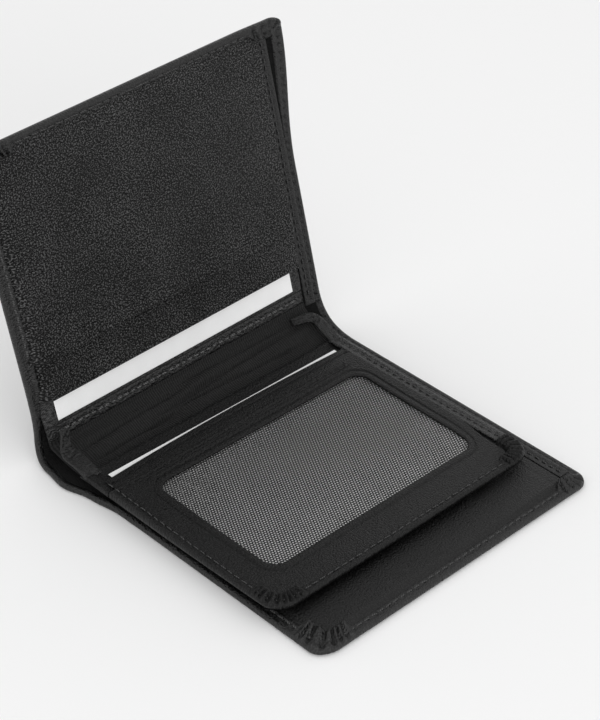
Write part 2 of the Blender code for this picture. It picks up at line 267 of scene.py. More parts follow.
class Outline:
    """A rectangle on a leaf, with round corners at its far edge, its near edge or both."""

    def __init__(self, left, right, near, far, far_corner=0.0, near_corner=0.0, right_fan=FAN_START):
        self.left, self.right, self.near, self.far = left, right, near, far
        self.far_corner, self.near_corner = far_corner, near_corner
        self.right_fan = right_fan

    def inside(self, x, v, joined=False):
        """The distance in from the nearest edge, leaving out a joined near edge."""
        depth = np.minimum(np.minimum(x - self.left, self.right - x), self.far - v)
        if not joined:
            depth = np.minimum(depth, v - self.near)
        for radius, past in ((self.far_corner, v - self.far), (self.near_corner, self.near - v)):
            side = np.maximum(self.left + radius - x, x - self.right + radius)
            end = past + radius
            corner = radius - np.hypot(np.maximum(side, 0.0), np.maximum(end, 0.0))
            depth = np.where((side > 0.0) & (end > 0.0), corner, depth)
        return depth

    def grid(self, edge, reach=8.0, fine=0.5, step=2.0):
        columns = stations(self.left, self.right, edge, reach, fine, step)
        rows = stations(self.near, self.far, edge, reach, fine, step)
        pull = np.zeros_like(rows)
        for radius, past in ((self.far_corner, rows - self.far), (self.near_corner, self.near - rows)):
            end = np.clip(past + radius, 0.0, radius)
            pull = np.maximum(pull, radius - np.sqrt(radius**2 - end**2))
        share = (columns - self.left) / (self.right - self.left)
        x = (self.left + pull)[:, None] + share[None, :] * (self.right - self.left - 2 * pull)[:, None]
        return x, np.repeat(rows[:, None], len(columns), 1)

    def fan(self, x, v):
        """How far round a far corner a point is, 0 at the side and 1 at the far edge, and how near to it."""
        across = np.where(x < 0.5 * (self.left + self.right), self.left - x, x - self.right) + GATHER_RADIUS
        along = v - self.far + GATHER_RADIUS
        turn = np.arctan2(along, across) / (0.5 * math.pi)
        start = np.where(x < 0.5 * (self.left + self.right), FAN_START, self.right_fan)
        return turn, smooth(start, start + 0.23, turn) * (1.0 - smooth(0.95, 1.18, turn))


def add_piece(name, points, faces, flat, material):
    """A smooth mesh whose UV map is its flat cut in metres."""
    mesh = bpy.data.meshes.new(name)
    mesh.from_pydata((points * 0.001).tolist(), [], faces)
    layer = mesh.uv_layers.new(name="cut")
    corner = np.empty(len(mesh.loops), int)
    mesh.loops.foreach_get("vertex_index", corner)
    layer.data.foreach_set("uv", (flat[corner] * 0.001).ravel())
    mesh.polygons.foreach_set("use_smooth", [True] * len(mesh.polygons))
    mesh.materials.append(material)
    obj = bpy.data.objects.new(name, mesh)
    bpy.context.collection.objects.link(obj)
    return obj


def facing_out(points, faces):
    """The faces, turned over if they enclose their volume inside out."""
    a, b, c, d = (points[np.array([face[i] for face in faces])] for i in (0, 1, 2, -1))
    volume = np.einsum("ij,ij->i", a, np.cross(b, c)).sum() + np.einsum("ij,ij->i", a, np.cross(c, d)).sum()
    return faces if volume > 0 else [face[::-1] for face in faces]


def grid_faces(index):
    quads = np.stack([index[:-1, :-1], index[1:, :-1], index[1:, 1:], index[:-1, 1:]], -1)
    return quads.reshape(-1, 4).tolist()


def sheet_piece(
    name, outline, low, high, place, material, relief=None, under=None, joined=False, rim=None, **spacing
):
    """A thin sheet with round edges; high may vary, relief raises its top and under its underside.

    A joined sheet is cut square at its near edge, where the next one carries on.
    """
    rim = rim or (high - low) / 2
    x, v = outline.grid(rim, **spacing)
    depth = np.maximum(outline.inside(x, v, joined), 0.0)
    depth[-1, :] = depth[:, 0] = depth[:, -1] = 0.0
    if not joined:
        depth[0, :] = 0.0
    crown = high(x, v) if callable(high) else high
    fall = (crown - low) / 2 * (1.0 - np.sqrt(1.0 - (1.0 - np.minimum(depth / rim, 1.0)) ** 2))
    ease = smooth(0.0, 0.9, depth)
    top = crown - fall + (ease * relief(x, v, depth) if relief else 0.0)
    bottom = low + fall + (ease * under(x, v, depth) if under else 0.0)
    rows, columns = x.shape
    first = 0 if joined else 1
    own = (slice(first, -1), slice(1, -1))
    upper = np.arange(rows * columns).reshape(rows, columns)
    lower = upper.copy()
    lower[own] = rows * columns + np.arange(lower[own].size).reshape(lower[own].shape)
    points = np.concatenate([place(x, v, top).reshape(-1, 3), place(x, v, bottom)[own].reshape(-1, 3)])
    flat = np.stack([x, v], -1)
    flat = np.concatenate([flat.reshape(-1, 2), flat[own].reshape(-1, 2)])
    faces = grid_faces(upper) + grid_faces(lower[:, ::-1])
    if joined:
        faces += [list(dict.fromkeys(face)) for face in grid_faces(np.stack([lower[0], upper[0]]))]
    obj = add_piece(name, points, facing_out(points, faces), flat, material)
    if joined:
        rims = set(upper[0].tolist()), set(lower[0].tolist())
        for line in obj.data.edges:
            line.use_edge_sharp = any(set(line.vertices) <= ring for ring in rims)
    return obj


def ripple(x, v, length, seed):
    """Gentle waves of about the given length, the same at every run."""
    draw = np.random.default_rng(seed)
    total = 0.0
    for _ in range(7):
        angle = draw.uniform(0.0, 2 * math.pi)
        pace = 2 * math.pi / (length * draw.uniform(0.6, 1.6))
        total = total + np.sin(pace * (x * math.cos(angle) + v * math.sin(angle)) + draw.uniform(0.0, 6.3))
    return total / 7.0


class Field:
    """A socket of a material, with arithmetic that adds its Math nodes."""

    def __init__(self, socket):
        self.socket = socket

    def node(self, kind, settings=None, output=0, **inputs):
        """A node of the given type, its settings made first and then its sockets; names use _ for spaces."""
        made = self.socket.id_data.nodes.new(kind)
        for key, value in (settings or {}).items():
            setattr(made, key, value)
        for key, value in inputs.items():
            numbered = key[0] == "i" and key[1:].isdigit()
            slot = made.inputs[int(key[1:]) if numbered else key.replace("_", " ")]
            if isinstance(value, Field):
                self.socket.id_data.links.new(value.socket, slot)
            else:
                slot.default_value = value
        return Field(made.outputs[output])

    def maths(self, operation, first, second):
        return self.node("ShaderNodeMath", {"operation": operation}, i0=first, i1=second)

    def __add__(self, other):
        return self.maths("ADD", self, other)

    def __rsub__(self, other):
        return self.maths("SUBTRACT", other, self)

    def __mul__(self, other):
        return self.maths("MULTIPLY", self, other)

    def sine(self):
        return self.node("ShaderNodeMath", {"operation": "SINE"}, i0=self)

    def noise(self, scale, detail):
        """Noise over flat coordinates in metres."""
        flat = {"noise_dimensions": "2D"}
        return self.node("ShaderNodeTexNoise", flat, Vector=self, Scale=scale, Detail=detail)

    def bumped(self, distance, strength):
        return self.node("ShaderNodeBump", Height=self, Distance=distance, Strength=strength)

    def between(self, low, high):
        """Rises from 0 to 1 between two values."""
        return self.node("ShaderNodeMapRange", {"clamp": True}, Value=self, From_Min=low, From_Max=high)

    def mix(self, first, second):
        """One grey where this is 0 and another where it is 1."""
        first, second = ((shade, shade, shade, 1.0) for shade in (first, second))
        return self.node("ShaderNodeMix", {"data_type": "RGBA"}, 2, Factor=self, i6=first, i7=second)

    def into(self, shader, name):
        self.socket.id_data.links.new(self.socket, shader.inputs[name])


def new_finish(name, roughness, gloss):
    """A material, its shader and its flat coordinates in metres."""
    material = bpy.data.materials.new(name)
    material.use_nodes = True
    shader = material.node_tree.nodes["Principled BSDF"]
    shader.inputs["Roughness"].default_value = roughness
    shader.inputs["Specular IOR Level"].default_value = gloss
    return material, shader, Field(material.node_tree.nodes.new("ShaderNodeTexCoord").outputs["UV"])


def leather(name, dark, light, roughness, gloss, depth):
    """Fine pebbled leather, its creases painted darker as shade and its pebble tops and fine flecks painted
    lighter as sheen and glints, smoother in places.
    """
    material, shader, flat = new_finish(name, roughness, gloss)
    pebble = flat.node("ShaderNodeTexVoronoi", {"voronoi_dimensions": "2D"}, 0, Vector=flat, Scale=1900.0)
    crease = flat.noise(1500.0, 4.0)
    patch = flat.noise(60.0, 3.0)
    fleck = flat.noise(2300.0, 1.0)
    grain_with_painted_light = (1.0 - pebble) * 0.35 + patch * 0.12 + fleck * 0.9
    # Base colour: the dark in the creases is painted shade, the light pebble tops and flecks are painted
    # sheen and glints, and the broad patches are the leather's own uneven tone.
    grain_with_painted_light.between(0.71, 0.93).mix(dark, light).into(shader, "Base Color")
    (patch * 0.16 + fleck * 0.2 + (roughness - 0.18)).into(shader, "Roughness")
    ((1.0 - pebble) * 0.6 + crease * 0.9 + fleck * 0.6).bumped(depth, 1.0).into(shader, "Normal")
    return material


def gathers(outline, count, height):
    """Sharp folds that fan out round the far corners, where a turned edge is gathered in."""

    def relief(x, v, depth):
        turn, near = outline.fan(x, v)
        swing = turn * count + 0.25 * np.sin(9.0 * turn) + 0.4 * (x < 0.0)
        valley = (1.0 - np.abs(np.sin(math.pi * swing))) ** 1.1
        return height * near * (0.6 - valley) * (1.0 - smooth(0.75 * GATHERED_BAND, GATHERED_BAND, depth))

    return relief


def by_pouch(x, v):
    """1 at the left end of the spine, where the hide's edge stands free."""
    return (1.0 - smooth(-47.0, -42.0, x)) * (1.0 - smooth(3.0, 22.0, v))


def rim_level(x, v, full, share):
    """The turned edge's height before it is pressed: low beside the open slot and at the pouch."""
    press = pressed(x, v, share)
    level = full * press
    level = level + smooth(44.0, 48.0, x) * (np.minimum(level, SLOT_RIM) - level)
    return (level + by_pouch(x, v) * (POUCH_RIM - level)) / press


def base_rim(x, v):
    return rim_level(x, v, BASE_RIM, BASE_PRESS)


def cover_rim(x, v):
    return rim_level(x, v, COVER_RIM, COVER_PRESS)


def cover_band(x, v):
    """The cover's turned edge is wider towards its upper right corner."""
    return TURNED_BAND + COVER_BAND * smooth(45.0, 80.0, v) * smooth(44.0, 48.0, x)


def turned_edge(outline, crown, floor, band, count, height):
    """A turned edge: a rough, gathered band at full height that ends at a step down to the inside."""
    folds = gathers(outline, count, height)

    def relief(x, v, depth):
        fan = outline.fan(x, v)[1]
        width = band(x, v) if callable(band) else band
        width = (width + (GATHERED_BAND - width) * fan) * (1.0 - 0.4 * by_pouch(x, v))
        inner = smooth(width - 0.3, width + 0.15, depth)
        hole = (0.5 + 0.5 * np.cos(2 * math.pi * (x + v) / STITCH_PITCH)) ** 2
        rough = 0.11 * ripple(x, v, 1.3, 3) + 0.07 * ripple(x, v, 3.4, 7)
        rough = (rough - (0.12 + 0.4 * hole) * bump(SEAM_INSET, 0.45, depth)) * (1.0 - 0.8 * fan)
        return (1.0 - inner) * (rough + folds(x, v, depth)) - inner * (crown(x, v) - floor)

    return relief


shell_leather = leather("shell_leather", 0.001, 0.016, 0.40, 0.46, 0.0003)
SHELL = Outline(SHELL_LEFT, SHELL_RIGHT, -SPINE_MIDDLE, LEAF_DEPTH, SHELL_CORNER, right_fan=0.3)


def hide_of_base(x, v, h):
    return on_hide(x, -v, h)


def hide_of_cover(x, v, h):
    """The hide stands off the note divider at the cover's upper right corner."""
    flare = smooth(45.0, LEAF_DEPTH - 4.0, v) * smooth(36.0, SHELL_RIGHT, x)
    return on_hide(x + COVER_FLARE * flare, v + SPINE_WIDTH, h + COVER_CURL * flare)


def cover_shell_under(x, v, depth):
    return 0.10 * ripple(x, v, 14.0, 3) - 0.10


SHELL_NODES = {"base": ("base_outer_shell", "spine_shell"), "cover": ("cover_outer_shell",)}
for leaf, crown, band, place, under in (
    ("base", base_rim, TURNED_BAND, hide_of_base, None),
    ("cover", cover_rim, cover_band, hide_of_cover, cover_shell_under),
):
    edge = turned_edge(SHELL, crown, SHELL_THICK, band, SHELL_PLEATS, SHELL_PLEAT_HEIGHT)
    shell = sheet_piece(
        leaf + "_shell", SHELL, 0.0, crown, place, shell_leather, edge, under, True,
        rim=TURNED_RIM, **FINE_SPACING,
    )
    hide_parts(*SHELL_NODES[leaf])
    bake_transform(shell)

# Shell lining: a plain black cloth glued all over the inside of the hide, its edges under the turned ones.
# It shows at the open end of the note compartment.
LINING = Outline(SHELL_LEFT + 2.0, SHELL_RIGHT - 2.0, -SPINE_MIDDLE, LEAF_DEPTH - 2.0, SHELL_CORNER - 2.0)
LINING_LEVELS = (1.1, 1.4)
LINING_NODES = {"base": ("base_shell_lining", "spine_lining"), "cover": ("cover_shell_lining",)}


def woven_cloth(name, dark, light, pitch):
    """A plain weave: threads over and under at a fixed pitch, with fuzz and a little unevenness."""
    material, shader, flat = new_finish(name, 0.85, 0.1)
    pace = (2 * math.pi / pitch,) * 3
    wound = flat.node("ShaderNodeVectorMath", {"operation": "MULTIPLY"}, i0=flat, i1=pace)
    across = wound.node("ShaderNodeSeparateXYZ", Vector=wound)
    along = Field(across.socket.node.outputs[1])
    fuzz = flat.noise(1500.0, 4.0)
    weave = across.sine() * along.sine()
    (fuzz + weave * 0.15).between(0.3, 0.8).mix(dark, light).into(shader, "Base Color")
    (weave * 0.5 + fuzz).bumped(0.00012, 0.9).into(shader, "Normal")
    shader.inputs["Sheen Weight"].default_value = 0.03
    return material


lining_cloth = woven_cloth("lining_cloth", 0.003, 0.009, 0.00045)
for leaf, place in (("base", hide_of_base), ("cover", hide_of_cover)):
    lining = sheet_piece(leaf + "_lining", LINING, *LINING_LEVELS, place, lining_cloth, joined=True, step=3.0)
    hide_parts(*LINING_NODES[leaf])
    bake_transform(lining)

# Note dividers: a stiff leather panel on each leaf, in front of the note compartment.
# Each is sewn in on all sides but the right, where it stands a little open.
INNER_LEFT = -49.4
INNER_FAR = LEAF_DEPTH - 1.6
INNER_CORNER = 3.4
POCKET_RIGHT = 43.1
DIVIDER_RIGHT = 47.0
INNER_NEAR = 1.5
DIVIDER = Outline(INNER_LEFT, DIVIDER_RIGHT, INNER_NEAR, INNER_FAR, INNER_CORNER)
DIVIDER_LEVELS = (2.1, 2.7)
SLOT_GAPE = 0.3
inner_leather = leather("inner_leather", 0.001, 0.014, 0.42, 0.44, 0.00025)


def slot_open(x):
    """How far the dividers stand open at their free right edges."""
    return SLOT_GAPE * smooth(42.8, DIVIDER_RIGHT, x)


def on_base_divider(x, v, h):
    return on_base(x, v, h + slot_open(x))


def on_cover_divider(x, v, h):
    return on_cover(x, v, h + slot_open(x))


DIVIDER_PLACES = {"base": on_base_divider, "cover": on_cover_divider}
for leaf, place in DIVIDER_PLACES.items():
    divider = sheet_piece(leaf + "_note_divider", DIVIDER, *DIVIDER_LEVELS, place, inner_leather, step=3.0)
    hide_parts(leaf + "_divider")
    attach(divider, leaf)

# Divider borders: a narrow leather strip along each divider's free right edge.
# Each is folded over the edge and held by one row of stitches.
BORDER = Outline(43.4, DIVIDER_RIGHT, INNER_NEAR, 88.0)
BORDER_SEAM = 45.2
BORDER_LOW = 2.9
BORDER_TOP = 3.45
THREAD_SINK = 0.2
SEAM_NEAR = 4.1
# The same black leather for the cover's hem and the flap's side border, painted lighter than the others as a
# painted sheen of grazing reflection.
edge_leather_painted_sheen = leather("edge_leather_painted_sheen", 0.001, 0.045, 0.38, 0.50, 0.0003)


def thread_finish(name, dark, light):
    """Twisted thread, its strands seen as slanting bars."""
    material, shader, flat = new_finish(name, 0.6, 0.4)
    strand = flat.node("ShaderNodeTexWave", {"bands_direction": "DIAGONAL"}, 1, Vector=flat, Scale=900.0)
    strand.mix(dark, light).into(shader, "Base Color")
    strand.bumped(0.00005, 0.8).into(shader, "Normal")
    return material


black_thread = thread_finish("black_thread", 0.010, 0.07)


def along_path(path, pitch):
    """Points and directions at a fixed pitch along a path of straight runs."""
    path = np.array(path)
    lengths = np.hypot(*np.diff(path, axis=0).T)
    travel = np.concatenate([[0.0], np.cumsum(lengths)])
    stops = np.arange(0.5 * pitch, travel[-1] - 0.4 * pitch, pitch)
    x, v = (np.interp(stops, travel, path[:, i]) for i in (0, 1))
    ahead = [np.interp(stops + 0.3, travel, path[:, i]) for i in (0, 1)]
    behind = [np.interp(stops - 0.3, travel, path[:, i]) for i in (0, 1)]
    return x, v, np.arctan2(ahead[1] - behind[1], ahead[0] - behind[0])


def stitch_row(name, path, surface, place, leaf, node, pitch=STITCH_PITCH, radius=0.2, thread=black_thread):
    """Separate stitches, each a short thread that comes up, lies on the leather and goes down again."""
    sides = 6
    runs = np.array((-0.5, -0.42, -0.2, 0.0, 0.2, 0.42, 0.5)) * 0.76 * pitch
    rises = np.array((-0.22, -0.02, 0.06, 0.08, 0.06, -0.02, -0.22))
    girth = radius * np.array((0.5, 0.85, 1.0, 1.0, 1.0, 0.85, 0.5))
    turn = np.arange(sides) * 2 * math.pi / sides
    sway = np.random.default_rng(len(name))
    points, flat, faces = [], [], []
    for x, v, angle in zip(*along_path(path, pitch)):
        angle = angle + sway.uniform(-0.12, 0.12)
        across = girth[:, None] * np.cos(turn)
        px = x + runs[:, None] * math.cos(angle) - across * math.sin(angle)
        pv = v + runs[:, None] * math.sin(angle) + across * math.cos(angle)
        level = surface(x, v) if callable(surface) else surface
        ph = level + sway.uniform(-0.05, 0.05) + rises[:, None] + girth[:, None] * np.sin(turn)
        start = len(points) * len(runs) * sides
        points.append(place(px, pv, ph).reshape(-1, 3))
        flat.append(np.stack([px + 0.3 * ph, pv], -1).reshape(-1, 2))
        ring = start + np.arange(len(runs) * sides).reshape(len(runs), sides)
        faces += grid_faces(np.concatenate([ring, ring[:, :1]], 1))
        faces += [ring[0].tolist(), ring[-1][::-1].tolist()]
    points = np.concatenate(points)
    obj = add_piece(name, points, facing_out(points, faces), np.concatenate(flat), thread)
    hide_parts(node)
    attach(obj, leaf)


def turned_strip(x, v, depth):
    """Leather folded over an edge: full at the fold, drawn down at each needle hole, finely wrinkled."""
    hole = (0.5 + 0.5 * np.cos(2 * math.pi * v / STITCH_PITCH)) ** 2
    return 0.10 * ripple(x, v, 1.6, 11) - (0.15 + 0.45 * hole) * bump(1.8, 0.5, depth)


for leaf, place in DIVIDER_PLACES.items():
    border = sheet_piece(
        leaf + "_slot_border", BORDER, BORDER_LOW, BORDER_TOP, place, inner_leather, turned_strip,
        reach=1.7, fine=0.3, step=0.6,
    )
    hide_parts(leaf + "_divider_border")
    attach(border, leaf)
    line = [(BORDER_SEAM, SEAM_NEAR), (BORDER_SEAM, 87.7)]
    stitch_row(leaf + "_slot_stitches", line, BORDER_TOP - THREAD_SINK, place, leaf, leaf + "_border_seam")

# Base facing: the leather that lines the base leaf's inside, under the flap.
# The shell's edge is turned over its edges and sewn down on it with one row of stitches.
BASE_FACING = Outline(INNER_LEFT, POCKET_RIGHT, INNER_NEAR, INNER_FAR, INNER_CORNER)
FACING_LEVELS = (2.9, 3.5)
SEAM_SINK = 0.12
SEAM_RIGHT = 40.5
facing_leather = leather("facing_leather", 0.002, 0.010, 0.42, 0.30, 0.0002)


def facing_relief(x, v, depth):
    return 0.05 * ripple(x, v, 9.0, 5) - 0.12 * bump(3.2, 0.3, POCKET_RIGHT - x)


facing = sheet_piece("base_facing", BASE_FACING, *FACING_LEVELS, on_base, facing_leather, facing_relief)
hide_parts("base_inner_facing")
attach(facing, "base")


def round_seam(left, right, near, far, corner):
    """A path up the left side, round the far left corner and along the far edge."""
    turn = np.linspace(math.pi, 0.5 * math.pi, 9)
    bend = [(left + corner + corner * math.cos(a), far - corner + corner * math.sin(a)) for a in turn]
    return [(left, near)] + bend + [(right, far)]


def leaf_seam(near):
    corner = SHELL_CORNER - SEAM_INSET
    return round_seam(SHELL_LEFT + SEAM_INSET, SEAM_RIGHT, near, LEAF_DEPTH - SEAM_INSET, corner)


def sunk_in(rim):
    """The level of thread that is drawn down a little into a turned edge."""

    def level(x, v):
        return rim(x, v) - SEAM_SINK

    return level


stitch_row("base_edge_stitches", leaf_seam(SEAM_NEAR), sunk_in(base_rim), on_base, "base", "base_edge_seam")

# Cover backing: the lining cloth behind the card on the cover leaf, held along the spine by a leather hem.
# The hem is one narrow rough strip with a row of thick stitches along its middle.
BACKING = Outline(INNER_LEFT, POCKET_RIGHT, 7.3, INNER_FAR, INNER_CORNER)
HEM = Outline(INNER_LEFT, POCKET_RIGHT, 3.0, 7.0)
BACKING_LEVELS = (2.9, 3.3)
HEM_LEVELS = (2.75, 3.0)
HEM_SEAM = 5.0
HEM_PITCH = 2.3
HEM_THREAD_RADIUS = 0.34
fuzzy_cloth = woven_cloth("fuzzy_cloth", 0.010, 0.085, 0.0006)


def backing_relief(x, v, depth):
    return 0.08 * ripple(x, v, 6.0, 21)


backing = sheet_piece("cover_backing_cloth", BACKING, *BACKING_LEVELS, on_cover, fuzzy_cloth, backing_relief)
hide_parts("cover_backing")
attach(backing, "cover")


def hem_relief(x, v, depth):
    lumps = np.minimum(0.6 * np.abs(ripple(x, v, 1.9, 23)), 0.35)
    return lumps + 0.08 * bump(3.6, 0.5, v) + 0.08 * bump(6.4, 0.5, v)


hem = sheet_piece(
    "cover_hem_strip", HEM, *HEM_LEVELS, on_cover, edge_leather_painted_sheen, hem_relief, reach=1.9, fine=0.25, step=0.3
)
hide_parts("cover_hem")
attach(hem, "cover")
hem_thread = thread_finish("hem_thread", 0.015, 0.16)
hem_line = [(-47.2, HEM_SEAM), (SEAM_RIGHT, HEM_SEAM)]
stitch_row(
    "cover_hem_stitches", hem_line, HEM_LEVELS[1], on_cover, "cover", "cover_hem_seam",
    HEM_PITCH, HEM_THREAD_RADIUS, hem_thread,
)

# Cards: two blank white cards, one in the cover's pocket and one behind the flap's window.
# They are smooth stiff card with square corners.
CARD_LENGTH = 85.6
CARD_THICK = 0.4
COVER_CARD_LEFT = -46.15
COVER_CARD_NEAR = 8.5
COVER_CARD_WIDTH = 54.0
COVER_CARD_LOW = 3.5
FLAP_CARD_LEFT = -47.5
FLAP_CARD_NEAR = 5.4
FLAP_CARD_WIDTH = 60.5
FLAP_CARD_LOW = 1.42


def card_finish(name):
    material, shader, flat = new_finish(name, 0.42, 0.4)
    mottle = flat.noise(160.0, 3.0)
    fibre = flat.noise(2500.0, 2.0)
    (mottle * 0.6 + fibre * 0.4).between(0.3, 0.75).mix(0.90, 0.95).into(shader, "Base Color")
    fibre.bumped(0.00002, 0.5).into(shader, "Normal")
    return material


white_card = card_finish("white_card")


def card_piece(name, left, edge, width, low, place, body, node):
    outline = Outline(left, left + CARD_LENGTH, edge, edge + width)
    obj = sheet_piece(name, outline, low, low + CARD_THICK, place, white_card, reach=2.0, step=3.0)
    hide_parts(node)
    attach(obj, body)


card_piece(
    "cover_white_card", COVER_CARD_LEFT, COVER_CARD_NEAR, COVER_CARD_WIDTH, COVER_CARD_LOW, on_cover,
    "cover_card", "cover_card",
)

# Cover pockets: two leather panels, one over the other, that open towards the spine.
# Their openings are turned edges; the shell's turned edge holds the others.
LOWER_POCKET = Outline(INNER_LEFT, POCKET_RIGHT, 15.0, 65.0)
FRONT_POCKET = Outline(INNER_LEFT, POCKET_RIGHT, 27.0, INNER_FAR, INNER_CORNER)
LOWER_POCKET_LOW = 4.1
FRONT_POCKET_LOW = 4.8
POCKET_THICK = 0.5
COVER_SEAM_NEAR = 29.6
# Its bright fine flecks are painted glints, much stronger than on the other leathers.
pocket_leather = leather("pocket_leather", 0.001, 0.115, 0.40, 0.22, 0.0008)


def opening_edge(near):
    """A turned opening: a fold of double thickness with a bead along its edge."""

    def relief(x, v, depth):
        along = v - near
        wear = 0.04 * ripple(x, v, 11.0, 17)
        return wear + 0.6 * (1.0 - smooth(1.5, 7.0, along)) + 0.45 * bump(0.8, 0.5, along)

    return relief


def front_pocket_lift(x, v, depth):
    return 0.55 * (1.0 - smooth(1.5, 7.0, v - FRONT_POCKET.near))


for name, node, outline, low, lift in (
    ("cover_lower_pocket_panel", "cover_lower_pocket", LOWER_POCKET, LOWER_POCKET_LOW, None),
    ("cover_front_pocket_panel", "cover_front_pocket", FRONT_POCKET, FRONT_POCKET_LOW, front_pocket_lift),
):
    mouth = opening_edge(outline.near)
    pocket = sheet_piece(
        name, outline, low, low + POCKET_THICK, on_cover, pocket_leather, mouth, lift, fine=0.25
    )
    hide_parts(node)
    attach(pocket, "cover")
seam_line = leaf_seam(COVER_SEAM_NEAR)
stitch_row("cover_edge_stitches", seam_line, sunk_in(cover_rim), on_cover, "cover", "cover_edge_seam")

# Gusset: a ribbed black cloth in the valley of the spine, from under the flap to the cover's hem.
# Its ribs run across the spine; it is sewn in with the hem and with the flap's strip.
GUSSET_LEFT = -49.5
GUSSET_RIGHT = 43.1
GUSSET_HALF = 9.0
GUSSET_SAG = 1.8
GUSSET_DROP = 0.9
GUSSET_THICK = 0.28
RIB_PITCH = 0.75
GUSSET_CREASES = (
    (20.0, 14.2, -0.03, -14.0, 40.0), (8.0, 11.0, 0.05, -24.0, 36.0), (16.0, 7.6, -0.05, -18.0, 40.0),
    (-26.0, 12.4, 0.04, -48.0, -2.0), (-30.0, 7.0, 0.03, -48.0, -8.0),
)


def ribbed_cloth_finish(name, dark, light):
    """A ribbed cloth, lighter along the ribs, with the weave's threads across them."""
    material, shader, flat = new_finish(name, 0.8, 0.25)
    place = flat.node("ShaderNodeSeparateXYZ", Vector=flat)
    rib = (place * (2000 * math.pi / RIB_PITCH)).sine()
    fuzz = flat.noise(1800.0, 3.0)
    (rib * 0.35 + fuzz).between(0.15, 0.85).mix(dark, light).into(shader, "Base Color")
    (rib * 0.6 + fuzz * 0.5).bumped(0.00012, 0.8).into(shader, "Normal")
    shader.inputs["Sheen Weight"].default_value = 0.04
    return material


ribbed_cloth = ribbed_cloth_finish("ribbed_cloth", 0.003, 0.018)


def gusset_slack(x, along):
    """Ribs, and slack folds that run aslant along the valley."""
    held = smooth(2.0, 7.0, along) * (1.0 - smooth(2 * GUSSET_HALF - 4.5, 2 * GUSSET_HALF - 1.5, along))
    folds = 0.9 * ripple(0.16 * x, along, 4.4, 31)
    for middle, start, slope, low, high in GUSSET_CREASES:
        near = smooth(low, low + 12.0, x) * (1.0 - smooth(high - 12.0, high, x))
        folds = folds - 1.1 * near * bump(start + slope * (x - middle), 0.55, along)
    folds = folds * (1.0 - 0.8 * smooth(36.0, 41.0, x))
    return 0.05 * np.sin(x * 2 * math.pi / RIB_PITCH) + held * folds


def on_gusset(x, along, h):
    """The cloth bridges the valley from under the flap, sagging on the way, and then runs up to the hem."""
    low = on_base(x, np.full_like(x, 3.0), np.full_like(x, 3.75))
    high = on_cover(x, np.full_like(x, 1.2), np.full_like(x, 2.9))
    hem_foot = on_cover(x, np.full_like(x, 2.9), np.full_like(x, 2.8))
    share = along / (2 * GUSSET_HALF)
    bridge = np.minimum(share / GUSSET_DROP, 1.0)
    climb = smooth(GUSSET_DROP - 0.04, 1.0, share)[..., None]
    out = np.cross(STRAIGHT[0], high - low)
    out = out / np.linalg.norm(out, axis=-1)[..., None]
    sag = (GUSSET_SAG * np.sin(math.pi * bridge**0.7))[..., None]
    facing = out + 3.0 * climb * ASKEW[2]
    facing = facing / np.linalg.norm(facing, axis=-1)[..., None]
    middle = low + bridge[..., None] * (high - low) + climb * (hem_foot - high)
    return middle - sag * out + h[..., None] * facing


def gusset_half(side):
    """The place and the relief of the half on one side of the valley's middle line."""

    def place(x, v, h):
        return on_gusset(x, GUSSET_HALF + side * v, h)

    def relief(x, v, depth):
        return gusset_slack(x, GUSSET_HALF + side * v)

    return place, relief


for leaf, side in (("base", -1.0), ("cover", 1.0)):
    place, relief = gusset_half(side)
    half = Outline(GUSSET_LEFT, GUSSET_RIGHT, 0.0, GUSSET_HALF)
    gusset = sheet_piece(
        leaf + "_gusset", half, 0.0, GUSSET_THICK, place, ribbed_cloth, relief, relief, True,
        reach=1.0, fine=0.3, step=RIB_PITCH / 5,
    )
    if leaf == "base":
        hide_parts("spine_gusset")
        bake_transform(gusset)
    else:
        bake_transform(gusset)

# Gusset tabs: a scrap of leather at each end of the gusset, folded over its raw end and left crumpled.
# Each carries on the flap's edge past its hinge, then is drawn together and caught in the hem's stitches,
# so it is made in three overlapping parts, at the flap, the spine and the cover.
TAB_PATHS = {
    "left": (
        (-50.5, 42.0, 4.8, 2.6), (-50.5, 47.0, 6.2, 2.6), (-50.0, 52.5, 6.2, 2.9), (-50.0, 55.2, 6.4, 2.1),
        (-49.2, 56.6, 8.4, 1.5), (-48.6, 57.4, 10.6, 1.4), (-48.4, 58.0, 13.0, 1.4),
    ),
    "right": (
        (42.0, 42.0, 5.0, 2.1), (42.1, 47.0, 6.4, 2.1), (42.6, 52.6, 8.2, 1.9), (41.0, 53.8, 9.2, 1.7),
        (38.5, 54.2, 9.4, 1.5), (36.0, 54.5, 9.6, 1.3), (33.5, 54.8, 9.8, 1.1),
    ),
}
TAB_WIDTH = 3.0
TAB_THICK = 0.8
TAB_CORNER = 0.6
TAB_END = 0.5
TAB_CUTS = (7.6, 11.0)
TAB_LAP = 0.8
TAB_EASE = (-1.4, -0.7, 0.0, 0.7, 1.4)
TAB_BENDS = {
    "at_flap": ("base", "flap", (0.0, 0.0490, 0.0050), (0.0, 0.0455, 0.0050)),
    "at_spine": ("base", "spine", (0.0, 0.0492, 0.0050), (0.0, 0.0525, 0.0065)),
    "at_cover": ("spine", "cover", (0.0, 0.0525, 0.0060), (0.0, 0.0570, 0.0100)),
}
TAB_FACING = np.array((0.0, -0.5, 0.87))


def tab_relief(x, v, depth):
    crumple = 0.5 + 0.6 * smooth(9.0, 13.0, v)
    return crumple * (0.9 * np.abs(ripple(x, v, 3.6, 41)) + 0.3 * ripple(x, v, 1.4, 43))


